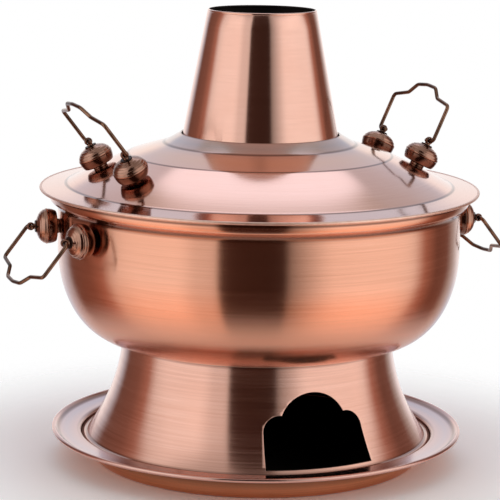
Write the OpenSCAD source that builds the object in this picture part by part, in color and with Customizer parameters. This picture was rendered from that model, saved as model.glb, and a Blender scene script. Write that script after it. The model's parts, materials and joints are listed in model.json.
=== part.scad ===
// Charcoal hot pot with a central chimney, a lift-off lid, a flared stand and a loose tray.
// Millimetres. +Z is up, z = 0 is the tray's underside, and the chimney's axis is the Z axis.
// The two pairs of handles lie along +X and -X, and the draft opening faces -Y.

/* [Sheet] */
// Thickness of the bowl's sheet
bowl_t = 1.5; // [1:0.1:2.5]
// Thickness of the lid, stand, chimney and tray sheets
sheet_t = 1.2; // [0.8:0.1:2]
// Gap left between pieces that seat on each other
seat_gap = 0.1; // [0.05:0.05:0.3]

/* [Tray] */
// Width of the tray's brim, from the well's wall to the outside of its rolled rim
tray_brim_w = 20.4; // [15:0.2:36]
// Height of the top of the tray's rim
tray_h = 21.8; // [20:0.2:30]
// Radius of the wire bead rolled into the rim
tray_bead_r = 1.5; // [1:0.1:2]
// How far the flat brim lies below the top of the rim
tray_brim_drop = 2.6; // [2:0.1:4]
// Radial gap between the stand's foot bead and the wall round the ledge
tray_well_play = 1.6; // [0.5:0.1:3]
// Depth of the ledge below the brim
tray_ledge_depth = 5; // [3:0.2:6]
// Width of the ledge inside the stand's foot bead
tray_ledge_w = 4.8; // [4:0.2:12]

/* [Stand] */
// Radius of the stand at its top, where it meets the bowl
stand_top_r = 92.8; // [90:0.2:93.5]
// Height of the stand, from the tray's ledge to the bowl's underside
stand_h = 70.2; // [60:0.2:90]
// Radius of the arc that the flared skirt follows
flare_r = 130; // [120:1:300]
// Angle of the skirt to the vertical at its top
flare_start = 4; // [0:0.5:6]
// Radius of the bead rolled into the stand's foot
foot_bead_r = 1.5; // [1.2:0.1:2]
// Width of the flange turned in under the bowl
flange_w = 9; // [5:0.5:10]

/* [Draft opening] */
// Half of the opening's width at its foot
draft_half_w = 37.8; // [30:0.2:42]
// Height of the opening's foot above the tray's ledge
draft_sill = 5.4; // [4:0.2:12]
// Radius of the opening's two side lobes
draft_side_r = 12; // [10:0.2:13]
// Height of the side lobes' centres above the sill
draft_side_h = 20.6; // [15:0.2:24]
// Radius of the opening's middle lobe
draft_mid_r = 24.3; // [20:0.2:26]
// Height of the middle lobe's centre above the sill
draft_mid_h = 22.1; // [15:0.2:24]
// Angle of the opening away from square with the handles
draft_turn = -1.9; // [-10:0.1:10]

/* [Bowl] */
// Outside radius of the bowl's upright wall
bowl_r = 137.6; // [130:0.2:142]
// Height of the bowl, from its underside to the top of its lip
bowl_h = 103.4; // [95:0.2:120]
// Width of the flat floor outside the stand's top
floor_step = 1.2; // [0.8:0.1:6]
// Height of the round bottom
bowl_round_h = 64; // [50:0.5:66]
// Squareness of the round bottom, 2 being an ellipse
bowl_square = 2.1; // [1.9:0.05:2.6]
// Height of the flared band below the lip
lip_h = 13.6; // [10:0.2:18]
// How far the lip stands out past the wall
lip_out = 6.2; // [4:0.2:7]

/* [Chimney] */
// Outside radius of the chimney at its top
chimney_r = 36.8; // [30:0.2:45]
// Height of the chimney's top above the bowl's lip
chimney_rise = 121.4; // [90:0.2:150]
// Growth of the chimney's radius for each millimetre down
chimney_taper = 0.19; // [0.15:0.005:0.2]
// How far the chimney reaches below the bowl's underside
chimney_skirt = 14; // [12:0.5:16]
// Radius of the edge bead at the chimney's top
chimney_bead_r = 0.9; // [0.7:0.1:1.2]

/* [Grate] */
// Thickness of the grate
grate_t = 3.5; // [3:0.1:6]
// Radial gap between the grate and the chimney
grate_play = 0.8; // [0.4:0.1:2]
// Radius of each hole in the grate
grate_hole_r = 4.6; // [3:0.1:5]
// Number of rings of holes round the middle one
grate_rings = 4; // [2:1:5]
// Radial distance from one ring of holes to the next
grate_pitch = 15.5; // [13:0.5:15.5]
// Thickness of the lugs that carry the grate
lug_t = 2; // [1.5:0.1:2.4]
// Width of each lug
lug_w = 14; // [10:0.5:18]
// Number of lugs
lug_n = 4; // [3:1:6]
// Radius of the rivets that hold the lugs
rivet_r = 2; // [1.5:0.1:2.5]

/* [Lid] */
// How far the lid's rolled edge reaches past the bowl's lip
lid_over = 6.2; // [4:0.2:14]
// Radial gap between the lid and the chimney
lid_play = 0.7; // [0.4:0.1:2]
// Width of the sloping collar round the chimney
collar_w = 11.8; // [9:0.2:14]
// Drop across the collar
collar_drop = 6.5; // [5:0.1:8]
// Width of the dome, from the end of its upper slope to the brim
dome_w = 42; // [36:0.5:48]
// Drop across the upper slope
shoulder_drop = 7.5; // [5:0.1:9]
// Width of the brim outside the dome
brim_w = 18; // [14:0.5:24]
// Drop from the shoulder to the crease
crease_drop = 20.6; // [18:0.2:24]
// How far the dome swells past a straight slope between the shoulder and the crease
dome_swell = 0.2; // [0:0.1:2.5]
// Drop across the brim
brim_drop = 2.2; // [1:0.1:4]
// Radius of the bead rolled into the lid's edge
lid_bead_r = 1; // [0.9:0.1:1.4]

/* [Knobs] */
// Radius of each ball knob
knob_r = 11.75; // [9:0.25:12]
// Distance from the wall to the knob's flat base
neck_h = 2; // [1.5:0.1:4]
// Radius of the neck ring between the wall and the knob
neck_r = 5; // [4:0.1:7]
// Distance from the wall to the seam between the knob's two shells
seam_h = 8; // [7:0.1:9]
// Distance from the wall to the knob's nose
nose_h = 15.6; // [15:0.1:18]
// Thickness of the knob's shells
shell_t = 1; // [0.8:0.1:1.5]
// Radius of the washer on the nose
nose_washer_r = 4; // [3.6:0.1:4.4]
// Thickness of the nose washer
nose_washer_t = 0.8; // [0.6:0.1:1.2]
// Radius of the eye bolt's shank
shank_r = 2; // [1.5:0.1:2.2]
// Radial clearance of the shank in its holes
shank_play = 0.05; // [0.03:0.01:0.2]
// Outside radius of the eye
eye_r = 2.75; // [2.4:0.05:3.2]
// Thickness of the eye along the bail's pivot
eye_t = 2.8; // [2:0.1:3.5]
// Distance from the middle of a handle to each of its eyes
eye_y = 34; // [30:0.5:36]
// Radius and thickness of the washer inside the wall
inner_washer_r = 5; // [4:0.1:7]
// Thickness of the washer inside the wall
inner_washer_t = 0.8; // [0.6:0.1:1.2]
// Distance across the flats of the cap nut
nut_flats = 7; // [6:0.5:9]
// Height of the cap nut's six-sided part
nut_h = 3.2; // [2.5:0.1:5]

/* [Bails] */
// Radius of the bails' wire
wire_r = 1.3; // [1:0.05:1.5]
// Length of the worn ring at each end of a bend
joint_l = 0.5; // [0.3:0.1:1]
// Height of that ring above the wire
joint_t = 0.02; // [0.02:0.01:0.04]
// Radial running clearance of the wire in the eyes
eye_play = 0.06; // [0.03:0.01:0.1]
// Half of the distance between a bail's two legs
bail_half = 39.5; // [39:0.5:46]
// Height of the shoulders above the pivot
shoulder_v = 26.6; // [22:0.2:32]
// Half-width and height of the bail where the crown's step starts
step_u = 21; // [18:0.5:26]
// Height of the bail where the crown's step starts
step_v = 30; // [27:0.2:32]
// Half-width of the crown above its step
crown_u = 12.8; // [9:0.2:15]
// Height of the crown above the pivot
crown_v = 38.2; // [36:0.2:44]
// Bend radius where the legs turn in to the eyes
foot_bend = 2.6; // [2:0.1:3]
// Bend radius of the shoulders
shoulder_bend = 3.2; // [2:0.1:6]
// Bend radius at the foot of the crown's step
step_bend = 5; // [3:0.5:8]
// Bend radius at the top of the crown's step
crown_bend = 7; // [4:0.5:10]
// Bend radius of the crown's middle
top_bend = 30; // [15:1:60]
// Drop from the crown's middle to the top of its step
crown_fall = 1.2; // [0.4:0.1:3]
// How far the turned-in ends reach past the eyes
tip_past = 2.8; // [1:0.2:5]
// Lean of the left lid bail from upright, outwards
lid_left_lean = 38; // [0:1:60]
// Lean of the right lid bail from upright, outwards
lid_right_lean = 25; // [0:1:60]
// Angle of the pot's bails from upright, outwards and down
pot_bail_angle = 141; // [90:1:175]

/* [Handle places] */
// Distance of the lid's knobs in from the crease between dome and brim
lid_post_in = 23.3; // [16:0.1:30]
// Depth of the bowl's knobs below the top of the lip
pot_post_drop = 24.1; // [20:0.1:30]

/* [Hidden] */
$fn = 96;
SIDES = ["left", "right"];
PIECES = ["necks", "knob_cups", "knob_caps", "nose_washers", "eye_bolts", "inner_washers",
          "cap_nuts", "bail"];
HANDLES = [for (on = ["lid", "pot"], side = SIDES) [on, side]];

// Heights worked out upwards from the tray
brim_z = tray_h - tray_brim_drop;
ledge_z = brim_z - tray_ledge_depth;
foot_z = ledge_z + seat_gap;
bowl_z = foot_z + stand_h;
lip_z = bowl_z + bowl_h;
chimney_top_z = lip_z + chimney_rise;
sill_z = ledge_z + draft_sill;

// Stand
arc_steps = 14;
skirt_drop = bowl_z - foot_z - foot_bead_r;
flare_end = asin(skirt_drop / flare_r + sin(flare_start));
foot_r = stand_top_r + flare_r * (cos(flare_start) - cos(flare_end));
foot_out_r = foot_r + foot_bead_r;
tray_well_r = foot_out_r + tray_well_play;
tray_pan_r = foot_r - tray_ledge_w;
tray_r = tray_well_r + tray_brim_w;

// Chimney: radius of its outside at a height
function chimney_at(z) = chimney_r + chimney_taper * (chimney_top_z - z);
cone_angle = atan(chimney_taper);
cone_wall = sheet_t / cos(cone_angle);
chimney_foot_z = bowl_z - chimney_skirt;

// Lid: heights of its upper surface, from the brim upwards
lid_r = bowl_r + lip_out + lid_over;
crease_r = lid_r - brim_w;
shoulder_r = crease_r - dome_w;
lid_post_r = crease_r - lid_post_in;
lip_bead_r = 1.3;
lip_mid_r = bowl_r + lip_out - lip_bead_r;
brim_slope = brim_drop / (brim_w - lid_bead_r);
brim_edge_z = lip_z + seat_gap + sheet_t + 0.1 - brim_slope * (lid_r - lid_bead_r - lip_mid_r);
crease_z = brim_edge_z + brim_drop;
shoulder_z = crease_z + crease_drop;
collar_z = shoulder_z + shoulder_drop;
hole_z = collar_z + collar_drop;
hole_r = chimney_at(hole_z - sheet_t) + lid_play;
collar_r = hole_r + collar_w;
// The dome bulges like half a wave over its slope
function dome_z(r) = shoulder_z - crease_drop * (r - shoulder_r) / dome_w
    + dome_swell * sin(180 * (r - shoulder_r) / dome_w);
function dome_slope(r) = atan((dome_z(r - 1) - dome_z(r + 1)) / 2);

// Knobs and eyes
bore_r = shank_r + shank_play;
eye_h = nose_h + nose_washer_t + eye_r + 0.05;
lid_tilt = dome_slope(lid_post_r);
pot_tilt = 90;
lid_post_z = dome_z(lid_post_r);
pot_post_z = lip_z - pot_post_drop;
function tilt_of(on) = on == "lid" ? lid_tilt : pot_tilt;
function post_r(on) = on == "lid" ? lid_post_r : bowl_r;
function post_z(on) = on == "lid" ? lid_post_z : pot_post_z;
function wall_of(on) = on == "lid" ? sheet_t : bowl_t;
function eye_reach(on) = post_r(on) + eye_h * sin(tilt_of(on));
function fan_of(on) = asin(eye_y / eye_reach(on));
function pivot_x(on) = eye_reach(on) * cos(fan_of(on));
function pivot_z(on) = post_z(on) + eye_h * cos(tilt_of(on));
function bail_angle(on, side) = on == "pot" ? pot_bail_angle
    : side == "left" ? lid_left_lean : lid_right_lean;

copper = "#c98a6c";
pale_copper = "#d8a48c";
dark_copper = "#7c4c3a";
iron = "#3a3633";

// Points of an arc, from angle a to angle b
function arc(c, r, a, b, n = 8) = [for (i = [0:n]) c + r * [cos(a + (b - a) * i / n), sin(a + (b - a) * i / n)]];

// Outline of a sheet between an upper path and a lower path, both from the inside out
function sheet(upper, lower) = concat(upper, [for (i = [len(lower) - 1:-1:0]) lower[i]]);

module spun(outline) {
    rotate_extrude() polygon(outline);
}

module bead(r, z, wire) {
    rotate_extrude() translate([r, z]) circle(r = wire, $fn = 32);
}

// ---- Tray: one pressed dish ----
module tray() {
    t = sheet_t;
    bend = 2.4;
    upper = concat(
        [[0, t]],
        arc([tray_pan_r - t - bend, t + bend], bend, -90, 0, 4),
        arc([tray_pan_r - t + bend, ledge_z - bend], bend, 180, 90, 4),
        arc([tray_well_r - bend, ledge_z + bend], bend, -90, 0, 4),
        arc([tray_well_r + bend, brim_z - bend], bend, 180, 90, 4),
        [[tray_r - tray_bead_r * 2 - 3.4, brim_z], [tray_r - tray_bead_r * 2 + 0.2, tray_h - tray_bead_r]]
    );
    lower = concat(
        [[0, 0]],
        arc([tray_pan_r - t - bend, t + bend], bend + t, -90, 0, 4),
        arc([tray_pan_r - t + bend, ledge_z - bend], bend - t, 180, 90, 4),
        arc([tray_well_r - bend, ledge_z + bend], bend + t, -90, 0, 4),
        arc([tray_well_r + bend, brim_z - bend], bend - t, 180, 90, 4),
        [[tray_r - tray_bead_r * 2 - 3, brim_z - t], [tray_r - tray_bead_r + 0.2, tray_h - tray_bead_r * 2 + 0.2]]
    );
    color(copper) union() {
        spun(sheet(upper, lower));
        bead(tray_r - tray_bead_r, tray_h - tray_bead_r, tray_bead_r);
    }
}

// ---- Stand: flared skirt with its draft opening ----
function skirt_point(a, inset) = [
    stand_top_r + flare_r * (cos(flare_start) - cos(a)) - inset * cos(a),
    bowl_z - flare_r * (sin(a) - sin(flare_start)) - inset * sin(a)
];

module draft_outline() {
    side_x = draft_half_w - draft_side_r - 2.6;
    translate([0, draft_mid_h]) circle(r = draft_mid_r);
    for (s = [-1, 1]) translate([s * side_x, draft_side_h]) circle(r = draft_side_r);
    polygon([[-draft_half_w, 0], [draft_half_w, 0], [side_x + draft_side_r, draft_side_h],
             [-side_x - draft_side_r, draft_side_h]]);
}

module stand() {
    bend = 1.6;
    outer = [for (i = [0:arc_steps]) skirt_point(flare_start + (flare_end - flare_start) * i / arc_steps, 0)];
    inner = [for (i = [0:arc_steps]) skirt_point(flare_start + (flare_end - flare_start) * i / arc_steps, sheet_t)];
    top_outer = [for (p = outer) if (p[1] < bowl_z - bend) p];
    top_inner = [for (p = inner) if (p[1] < bowl_z - bend) p];
    flange_r = stand_top_r - flange_w;
    color(copper) union() {
        difference() {
            spun(concat(
                [[flange_r, bowl_z - sheet_t], [flange_r, bowl_z]],
                arc([stand_top_r - bend, bowl_z - bend], bend, 90, 0, 4),
                top_outer,
                [for (i = [len(top_inner) - 1:-1:0]) top_inner[i]],
                [[stand_top_r - bend, bowl_z - sheet_t]]
            ));
            rotate([0, 0, draft_turn]) translate([0, 0, sill_z]) rotate([90, 0, 0])
                linear_extrude(foot_out_r + 10) draft_outline();
        }
        bead(foot_r, foot_z + foot_bead_r, foot_bead_r);
    }
}

// ---- Bowl ----
floor_r = stand_top_r + floor_step;
bowl_half = bowl_r - floor_r;
// A quarter of a squared ellipse, from the floor up to the wall
function round_bottom(inset) = [for (i = [1:18]) let (a = 90 - 5 * i) [
    floor_r + (bowl_half - inset) * pow(cos(a), 2 / bowl_square),
    bowl_z + bowl_round_h - (bowl_round_h - inset) * pow(sin(a), 2 / bowl_square)
]];

module bowl() {
    t = bowl_t;
    lip_r = bowl_r + lip_out;
    band_z = lip_z - lip_h;
    hole_top_r = chimney_at(bowl_z + t) + seat_gap;
    collar_h = 5;
    hole_low_r = chimney_at(bowl_z - collar_h) + seat_gap;
    inner = concat(
        [[hole_low_r, bowl_z - collar_h], [hole_top_r, bowl_z + t], [floor_r, bowl_z + t]],
        round_bottom(t),
        [[bowl_r - t, band_z], [lip_r - t - 1.4, band_z + 6.4], [lip_r - t - 0.4, lip_z - lip_bead_r]]
    );
    outer = concat(
        [[hole_low_r + t, bowl_z - collar_h], [chimney_at(bowl_z) + t + seat_gap + 0.4, bowl_z], [floor_r, bowl_z]],
        round_bottom(0),
        [[bowl_r, band_z], [lip_r - 1.4, band_z + 5.6], [lip_r - 0.2, lip_z - lip_bead_r]]
    );
    color(copper) difference() {
        union() {
            spun(sheet(inner, outer));
            bead(lip_r - lip_bead_r, lip_z - lip_bead_r, lip_bead_r);
        }
        bolt_holes("pot");
    }
}

// ---- Chimney: straight cone that is also the firebox ----
module chimney() {
    top_z = chimney_top_z - chimney_bead_r;
    color(pale_copper) difference() {
        union() {
            spun([
                [chimney_at(chimney_foot_z) - cone_wall, chimney_foot_z],
                [chimney_at(chimney_foot_z), chimney_foot_z],
                [chimney_at(top_z), top_z],
                [chimney_at(top_z) - cone_wall, top_z]
            ]);
            bead(chimney_r - chimney_bead_r + 0.2, top_z, chimney_bead_r);
        }
        at_lugs() translate([0, 0, -5]) cylinder(r = rivet_r + shank_play, h = 20);
    }
}

// ---- Grate and what holds it ----
lug_drop = 9.6;
rivet_z = chimney_foot_z + lug_drop * 0.43;
grate_z = chimney_foot_z + lug_drop + seat_gap;
grate_r = chimney_at(grate_z + grate_t) - cone_wall - grate_play;

module grate() {
    color(iron) difference() {
        translate([0, 0, grate_z]) cylinder(r = grate_r, h = grate_t);
        for (ring = [0:grate_rings]) for (i = [0:max(ring * 6 - 1, 0)])
            rotate([0, 0, ring == 0 ? 0 : i * 60 / ring]) translate([ring * grate_pitch, 0, grate_z - 1])
                cylinder(r = grate_hole_r, h = grate_t + 2, $fn = 24);
    }
}

// Frame of each rivet: its +Z leads outwards through the cone's wall, from the wall's inside
module at_lugs() {
    for (i = [0:lug_n - 1]) rotate([0, 0, 45 + i * 360 / lug_n])
        translate([chimney_at(rivet_z) - cone_wall, 0, rivet_z]) rotate([0, 90 - cone_angle, 0]) children();
}

module grate_lugs() {
    leg = lug_drop / cos(cone_angle);
    // The lug's top slab runs in under the grate
    color(dark_copper) for (i = [0:lug_n - 1]) rotate([0, 0, 45 + i * 360 / lug_n]) {
        mid_z = chimney_foot_z + lug_drop / 2;
        difference() {
            union() {
                translate([chimney_at(mid_z) - cone_wall - 0.4, 0, mid_z]) rotate([0, -cone_angle, 0])
                    translate([-lug_t, -lug_w / 2, -leg / 2 + 0.3]) cube([lug_t, lug_w, leg - 0.6]);
                translate([chimney_at(chimney_foot_z + lug_drop) - cone_wall - 14, -lug_w / 2, chimney_foot_z + lug_drop - lug_t])
                    cube([13, lug_w, lug_t]);
            }
            translate([chimney_at(rivet_z) - cone_wall, 0, rivet_z]) rotate([0, 90 - cone_angle, 0])
                translate([0, 0, -8]) cylinder(r = rivet_r + shank_play, h = 16);
        }
    }
}

module lug_rivets() {
    grip_in = -lug_t - 0.5;
    grip_out = sheet_t + 0.1;
    color(dark_copper) at_lugs() {
        translate([0, 0, grip_in]) cylinder(r = rivet_r, h = grip_out - grip_in);
        translate([0, 0, grip_out]) rivet_head();
        translate([0, 0, grip_in]) rotate([180, 0, 0]) rivet_head();
    }
}

module rivet_head() {
    rotate_extrude() polygon(concat([[0, 0]], [for (a = [0:15:90]) [rivet_r * 1.5 * cos(a), rivet_r * 0.9 * sin(a)]]));
}

// ---- Lid ----
module lid() {
    t = sheet_t;
    dome_steps = 12;
    dome = [for (i = [0:dome_steps]) let (r = shoulder_r + dome_w * i / dome_steps) [r, dome_z(r)]];
    upper = concat(
        [[hole_r, hole_z - t * 0.4], [hole_r + 0.6, hole_z], [collar_r, collar_z]],
        dome,
        [[lid_r - lid_bead_r, brim_edge_z]]
    );
    lower = [for (p = upper) [p[0], p[1] - t - (p == upper[0] ? 0.6 : 0.1)]];
    color(copper) difference() {
        union() {
            spun(sheet(upper, lower));
            bead(lid_r - lid_bead_r, brim_edge_z - t / 2, lid_bead_r);
        }
        bolt_holes("lid");
    }
}

// ---- Handles ----
// Frame of each knob of one handle: origin on the wall's outside, +Z along the eye bolt
module at_posts(on, side) {
    fan = fan_of(on);
    turn = side == "left" ? 180 : 0;
    for (f = [-fan, fan]) rotate([0, 0, turn + f]) translate([post_r(on), 0, post_z(on)])
        rotate([0, tilt_of(on), 0]) children();
}

module bolt_holes(on) {
    for (side = SIDES) at_posts(on, side) translate([0, 0, -8]) cylinder(r = bore_r, h = 12);
}

module washer(r, t) {
    difference() {
        cylinder(r = r, h = t);
        translate([0, 0, -1]) cylinder(r = bore_r, h = t + 2);
    }
}

module necks(on, side) {
    color(dark_copper) at_posts(on, side) translate([0, 0, seat_gap]) washer(neck_r, neck_h - seat_gap);
}

// Radius of the ball at a distance h from the wall
function ball_at(h) = sqrt(knob_r * knob_r - (seam_h - h) * (seam_h - h));

module knob_cup() {
    lip_low = seam_h - 0.2;
    outer = [for (i = [0:8]) let (h = neck_h + (lip_low - neck_h) * i / 8) [ball_at(h), h]];
    inner = [for (p = outer) if (p[1] > neck_h + shell_t) [p[0] - shell_t, p[1]]];
    rotate_extrude() polygon(concat(
        [[bore_r, neck_h]], outer,
        [for (i = [len(inner) - 1:-1:0]) inner[i]],
        [[ball_at(neck_h) - shell_t, neck_h + shell_t], [bore_r, neck_h + shell_t]]
    ));
}

// Turned steps of the cap, as [share of the ball's radius, share of the way from seam to nose]
CAP_STEPS = [[1.015, 0.02], [1.015, 0.2], [0.95, 0.24], [0.93, 0.42], [0.86, 0.45], [0.82, 0.6],
             [0.72, 0.63], [0.66, 0.76], [0.56, 0.79], [0.49, 0.89], [0.4, 0.92], [0.37, 1]];

module knob_cap() {
    rise = nose_h - seam_h;
    outer = [for (s = CAP_STEPS) [knob_r * s[0], seam_h + rise * s[1]]];
    rotate_extrude() polygon(concat(
        outer,
        [[bore_r, nose_h], [bore_r, nose_h - shell_t], [knob_r * 0.3, nose_h - shell_t]],
        [[knob_r * 0.62, seam_h + rise * 0.6], [knob_r * 0.82, seam_h + rise * 0.3],
         [knob_r - shell_t, seam_h + rise * 0.02]]
    ));
}

module knob_cups(on, side) {
    color(dark_copper) at_posts(on, side) knob_cup();
}

module knob_caps(on, side) {
    color(dark_copper) at_posts(on, side) knob_cap();
}

module nose_washers(on, side) {
    color(iron) at_posts(on, side) translate([0, 0, nose_h]) washer(nose_washer_r, nose_washer_t);
}

// Length of shank inside the wall: washer, nut, and a little over
function shank_in(on) = wall_of(on) + inner_washer_t + nut_h - 0.4;

module eye_bolts(on, side) {
    out = side == "left" ? -1 : 1;
    color(dark_copper) difference() {
        union() {
            at_posts(on, side) translate([0, 0, -shank_in(on)])
                cylinder(r = shank_r, h = shank_in(on) + eye_h - wire_r);
            for (s = [-1, 1]) translate([out * pivot_x(on), s * eye_y + eye_t / 2, pivot_z(on)])
                rotate([90, 0, 0]) cylinder(r = eye_r, h = eye_t);
        }
        translate([out * pivot_x(on), eye_y + 10, pivot_z(on)]) rotate([90, 0, 0])
            cylinder(r = wire_r + eye_play, h = 2 * eye_y + 20);
    }
}

module inner_washers(on, side) {
    color(dark_copper) at_posts(on, side)
        translate([0, 0, -wall_of(on) - inner_washer_t - 2 * seat_gap]) washer(inner_washer_r, inner_washer_t);
}

module cap_nut() {
    across = nut_flats / cos(30);
    dome_r = nut_flats / 2;
    difference() {
        union() {
            rotate([180, 0, 0]) cylinder(d = across, h = nut_h, $fn = 6);
            translate([0, 0, -nut_h]) rotate([180, 0, 0]) rotate_extrude()
                polygon(concat([[0, 0]], [for (a = [0:15:90]) [dome_r * cos(a), dome_r * 0.8 * sin(a)]]));
        }
        translate([0, 0, -nut_h]) cylinder(r = bore_r, h = nut_h + 1);
    }
}

module cap_nuts(on, side) {
    color(dark_copper) at_posts(on, side)
        translate([0, 0, -wall_of(on) - inner_washer_t - 3 * seat_gap]) cap_nut();
}

// Bent wire: straight runs and round bends along corner points [u, v, bend radius] in a plane
function unit(v) = v / norm(v);
function turn_at(p, i) = let (a = unit(xy(p[i]) - xy(p[i - 1])), b = unit(xy(p[i + 1]) - xy(p[i])))
    atan2(a[0] * b[1] - a[1] * b[0], a * b);
function xy(q) = [q[0], q[1]];
function trim_at(p, i) = i == 0 || i == len(p) - 1 ? 0 : p[i][2] * tan(abs(turn_at(p, i)) / 2);

// Straight runs and bends share flat ends; a short sleeve over each such joint makes them one solid
module bent_wire(p, r) {
    for (i = [0:len(p) - 2]) {
        dir = unit(xy(p[i + 1]) - xy(p[i]));
        from = xy(p[i]) + dir * trim_at(p, i);
        length = norm(xy(p[i + 1]) - xy(p[i])) - trim_at(p, i) - trim_at(p, i + 1);
        translate([from[0], from[1], 0]) rotate([0, 90, atan2(dir[1], dir[0])]) {
            cylinder(r = r, h = length);
            if (i > 0) translate([0, 0, -joint_l / 2]) cylinder(r = r + joint_t, h = joint_l);
            if (i < len(p) - 2) translate([0, 0, length - joint_l / 2]) cylinder(r = r + joint_t, h = joint_l);
        }
    }
    for (i = [1:len(p) - 2]) {
        turn = turn_at(p, i);
        hand = turn > 0 ? 1 : -1;
        dir = unit(xy(p[i]) - xy(p[i - 1]));
        start = xy(p[i]) - dir * trim_at(p, i);
        centre = start + hand * p[i][2] * [-dir[1], dir[0]];
        heading = atan2(dir[1], dir[0]);
        first = hand > 0 ? heading - 90 : heading + 90 + turn;
        translate([centre[0], centre[1], 0]) rotate([0, 0, first])
            rotate_extrude(angle = abs(turn), $fn = 72) translate([p[i][2], 0]) circle(r = r, $fn = 32);
    }
}

// The bail lies in its own plane: u along the pivot, v away from it
BAIL_BENDS = [[bail_half, 0, foot_bend], [bail_half, shoulder_v, shoulder_bend],
              [step_u, step_v, step_bend], [crown_u, crown_v - crown_fall, crown_bend]];

module bail(on, side) {
    out = side == "left" ? -1 : 1;
    tip_u = eye_y - eye_t / 2 - tip_past;
    right_half = concat([[tip_u, 0, 0]], BAIL_BENDS);
    left_half = [for (i = [len(right_half) - 1:-1:0]) [-right_half[i][0], right_half[i][1], right_half[i][2]]];
    path = concat(right_half, [[0, crown_v, top_bend]], left_half);
    // rotate the u-v plane so that u lies along Y and v leans outwards by the bail's angle
    color(dark_copper) translate([out * pivot_x(on), 0, pivot_z(on)])
        rotate([0, out * bail_angle(on, side), 0]) rotate([90, 0, 90]) bent_wire(path, wire_r);
}

module handle_piece(on, side, piece) {
    if (piece == "necks") necks(on, side);
    if (piece == "knob_cups") knob_cups(on, side);
    if (piece == "knob_caps") knob_caps(on, side);
    if (piece == "nose_washers") nose_washers(on, side);
    if (piece == "eye_bolts") eye_bolts(on, side);
    if (piece == "inner_washers") inner_washers(on, side);
    if (piece == "cap_nuts") cap_nuts(on, side);
    if (piece == "bail") bail(on, side);
}

tray();
stand();
bowl();
chimney();
grate();
grate_lugs();
lug_rivets();
lid();
for (h = HANDLES, p = PIECES)
    handle_piece(h[0], h[1], p);
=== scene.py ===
# %% [markdown]
# # A copper hot pot with a chimney
#
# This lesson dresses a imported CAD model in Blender. The pot is spun from copper sheet: a tray, a
# flared stand, a round bowl, a cone-shaped chimney and a lid that lifts off over it. Ball knobs
# and bent-wire bails make the four handles. The CAD frame gives every size and every joint, and
# each piece here is modelled on it.

# %% Load the fixed frame
import json
from math import acos, asin, atan, atan2, cos, degrees, hypot, pi, radians, sin, sqrt, tan

import bpy
from mathutils import Matrix, Vector


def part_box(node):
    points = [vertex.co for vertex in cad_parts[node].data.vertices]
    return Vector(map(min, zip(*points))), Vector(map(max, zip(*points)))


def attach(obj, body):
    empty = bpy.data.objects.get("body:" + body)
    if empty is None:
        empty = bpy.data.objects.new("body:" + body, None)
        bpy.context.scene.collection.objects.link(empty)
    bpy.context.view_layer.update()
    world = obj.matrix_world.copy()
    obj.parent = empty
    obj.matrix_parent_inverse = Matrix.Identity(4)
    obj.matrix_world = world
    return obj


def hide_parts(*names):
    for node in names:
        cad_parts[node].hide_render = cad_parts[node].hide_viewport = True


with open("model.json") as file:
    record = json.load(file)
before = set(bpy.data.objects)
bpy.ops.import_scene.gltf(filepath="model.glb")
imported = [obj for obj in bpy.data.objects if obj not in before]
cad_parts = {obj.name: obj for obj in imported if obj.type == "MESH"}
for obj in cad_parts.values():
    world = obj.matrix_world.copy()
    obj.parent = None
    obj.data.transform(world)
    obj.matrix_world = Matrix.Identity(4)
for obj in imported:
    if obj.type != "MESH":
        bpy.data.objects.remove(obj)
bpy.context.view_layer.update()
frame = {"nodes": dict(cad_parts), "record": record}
bpy.ops.object.select_all(action="DESELECT")
scene = bpy.context.scene
scene.view_settings.view_transform = "Standard"
MM = 0.001

# %% [markdown]
# ## The camera
#
# The photograph was taken from about a metre and a half away with a long lens, a little above
# the lid, so that circles show as narrow ellipses. A long lens keeps the chimney's sides nearly
# straight. The camera stands left of the draft opening, looks down ten degrees, and is tilted by
# a degree as it was in the hand.

# %% Camera
CAMERA_TURN = radians(-24.5)
CAMERA_DISTANCE, CAMERA_HEIGHT = 1.5462, 0.428
LOOK_DOWN, ROLL, YAW = radians(10.41), radians(0.87), -0.0038
LENS, SENSOR = 164.6, 36

turn = Matrix.Rotation(CAMERA_TURN, 3, "Z")
ahead = turn @ Vector((sin(YAW) * cos(LOOK_DOWN), cos(YAW) * cos(LOOK_DOWN), -sin(LOOK_DOWN)))
level_right = turn @ Vector((cos(YAW), -sin(YAW), 0))
level_up = level_right.cross(ahead)
right = cos(ROLL) * level_right + sin(ROLL) * level_up
up = -sin(ROLL) * level_right + cos(ROLL) * level_up

bpy.ops.object.camera_add()
camera = bpy.context.object
camera.name = "camera"
camera.data.sensor_width = SENSOR
camera.data.lens = LENS
camera.data.clip_end = 100
stand_point = turn @ Vector((0, -CAMERA_DISTANCE, CAMERA_HEIGHT))
facing = Matrix((right, up, -ahead)).transposed().to_4x4()
camera.matrix_world = Matrix.Translation(stand_point) @ facing
scene.camera = camera
print("camera at", tuple(round(v, 3) for v in stand_point))

# %% [markdown]
# ## The studio
#
# Polished metal has hardly any colour of its own: it shows the room. The pot was lit by two tall
# soft boxes, left and right of the camera, with the dark room between them, and a white wall
# behind. That gives the dark upright band down its middle. Panels of light could be built and
# placed, but a room that is painted on the world by compass direction does the same with fewer
# parts, and it stays put when the camera walks round. The camera itself sees plain white, and so
# does the metal, behind the pot and at its sides. Dark drapes hang only in between.

# %% Studio: brightness and tint of the room, by compass direction
WARM, PLAIN, COOL = (1.0, 0.52, 0.4), (1, 1, 1), (0.86, 0.97, 1.14)
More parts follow.
